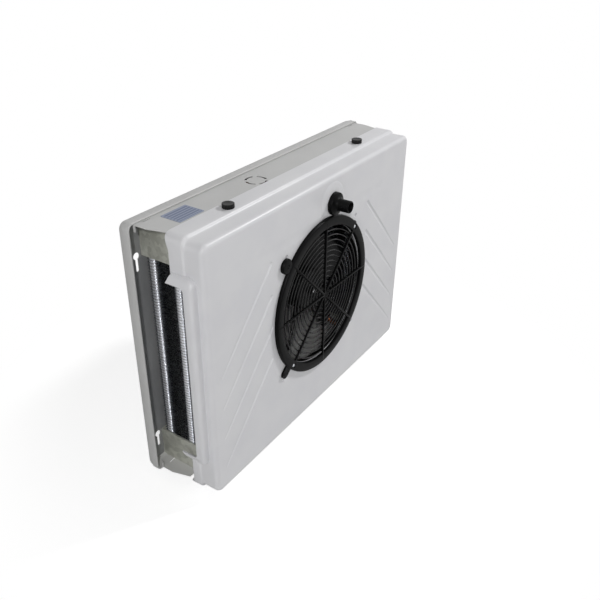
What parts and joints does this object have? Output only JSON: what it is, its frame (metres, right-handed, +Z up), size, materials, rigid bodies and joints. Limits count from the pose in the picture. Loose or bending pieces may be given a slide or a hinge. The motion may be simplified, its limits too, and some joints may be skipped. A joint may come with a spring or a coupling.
{
  "type": "ceiling evaporator unit",
  "caption": "Slim ceiling evaporator for a cold room: one guarded fan draws air in through a moulded drip tray and blows it out through a finned coil at each end.",
  "frame": {"origin": "bottom centre of the bounding box, as the unit stands in the picture on its long side", "axes": "+X along the length, -Y out of the fan face (down in use), +Y out of the mounting panel (towards the ceiling in use), +Z up as pictured"},
  "size_m": [0.636, 0.18, 0.474],
  "materials": {
    "white_paint": "satin",
    "galvanised_steel": "dull zinc",
    "fin_aluminium": "bare",
    "pipe_copper": "dull copper",
    "white_plastic": "moulded, satin gloss",
    "black_plastic": "moulded black",
    "fan_plastic": "moulded dark grey",
    "screw_steel": "bright zinc",
    "motor_aluminium": "die cast",
    "core_iron": "laminated core",
    "seal_rubber": "soft",
    "plate_grey": "printed plate",
    "terminal_ivory": "moulded"
  },
  "bodies": {
    "casing": {"back_panel": "white_paint", "top_side_panel": "white_paint", "bottom_side_panel": "white_paint", "terminal_box": "white_paint", "terminal_box_lid": "white_paint", "left_top_tube_sheet": "galvanised_steel", "left_bottom_tube_sheet": "galvanised_steel", "right_top_tube_sheet": "galvanised_steel", "right_bottom_tube_sheet": "galvanised_steel", "motor_bracket": "galvanised_steel", "pipe_clips": "galvanised_steel", "screw_clips": "galvanised_steel", "left_coil_fins": "fin_aluminium", "right_coil_fins": "fin_aluminium", "left_coil_tubes": "pipe_copper", "right_coil_tubes": "pipe_copper", "left_return_bends": "pipe_copper", "right_return_bends": "pipe_copper", "liquid_line": "pipe_copper", "suction_line": "pipe_copper", "liquid_tee": "pipe_copper", "suction_tee": "pipe_copper", "cable_gland": "black_plastic", "bracket_screws": "screw_steel", "motor_screws": "screw_steel", "terminal_lid_screws": "screw_steel", "motor_front_bearing": "screw_steel", "motor_rear_bearing": "screw_steel", "motor_housing": "motor_aluminium", "motor_end_cap": "motor_aluminium", "motor_stator": "core_iron", "label_plate": "plate_grey", "terminal_block": "terminal_ivory"},
    "fan_rotor": {"fan_impeller": "fan_plastic", "impeller_nut": "fan_plastic", "motor_rotor": "core_iron", "motor_shaft": "screw_steel"},
    "cover_tray": {"cover": "white_plastic", "fan_guard": "black_plastic", "guard_screws": "screw_steel", "fan_shroud": "black_plastic", "drain_fitting": "black_plastic", "drain_gasket": "seal_rubber", "drain_nut": "black_plastic"},
    "thumb_screw_top_left_body": {"thumb_screw_top_left": "black_plastic"},
    "thumb_screw_top_right_body": {"thumb_screw_top_right": "black_plastic"},
    "thumb_screw_bottom_left_body": {"thumb_screw_bottom_left": "black_plastic"},
    "thumb_screw_bottom_right_body": {"thumb_screw_bottom_right": "black_plastic"}
  },
  "joints": [
    {"name": "fan_spin", "type": "hinge", "parent": "casing", "child": "fan_rotor", "pos_m": [0, -0.016, 0.249], "axis": [0, 1, 0], "continuous": true},
    {"name": "cover_removal", "type": "slide", "parent": "casing", "child": "cover_tray", "axis": [0, -1, 0], "range_m": [0, 0.08]},
    {"name": "thumb_screw_top_left_turn", "type": "hinge", "parent": "casing", "child": "thumb_screw_top_left_body", "pos_m": [-0.188, -0.005, 0.467], "axis": [0, 0, 1], "range_deg": [0, 720]},
    {"name": "thumb_screw_top_right_turn", "type": "hinge", "parent": "casing", "child": "thumb_screw_top_right_body", "pos_m": [0.188, -0.005, 0.467], "axis": [0, 0, 1], "range_deg": [0, 720]},
    {"name": "thumb_screw_bottom_left_turn", "type": "hinge", "parent": "casing", "child": "thumb_screw_bottom_left_body", "pos_m": [-0.188, -0.005, 0.007], "axis": [0, 0, -1], "range_deg": [0, 720]},
    {"name": "thumb_screw_bottom_right_turn", "type": "hinge", "parent": "casing", "child": "thumb_screw_bottom_right_body", "pos_m": [0.188, -0.005, 0.007], "axis": [0, 0, -1], "range_deg": [0, 720]}
  ]
}
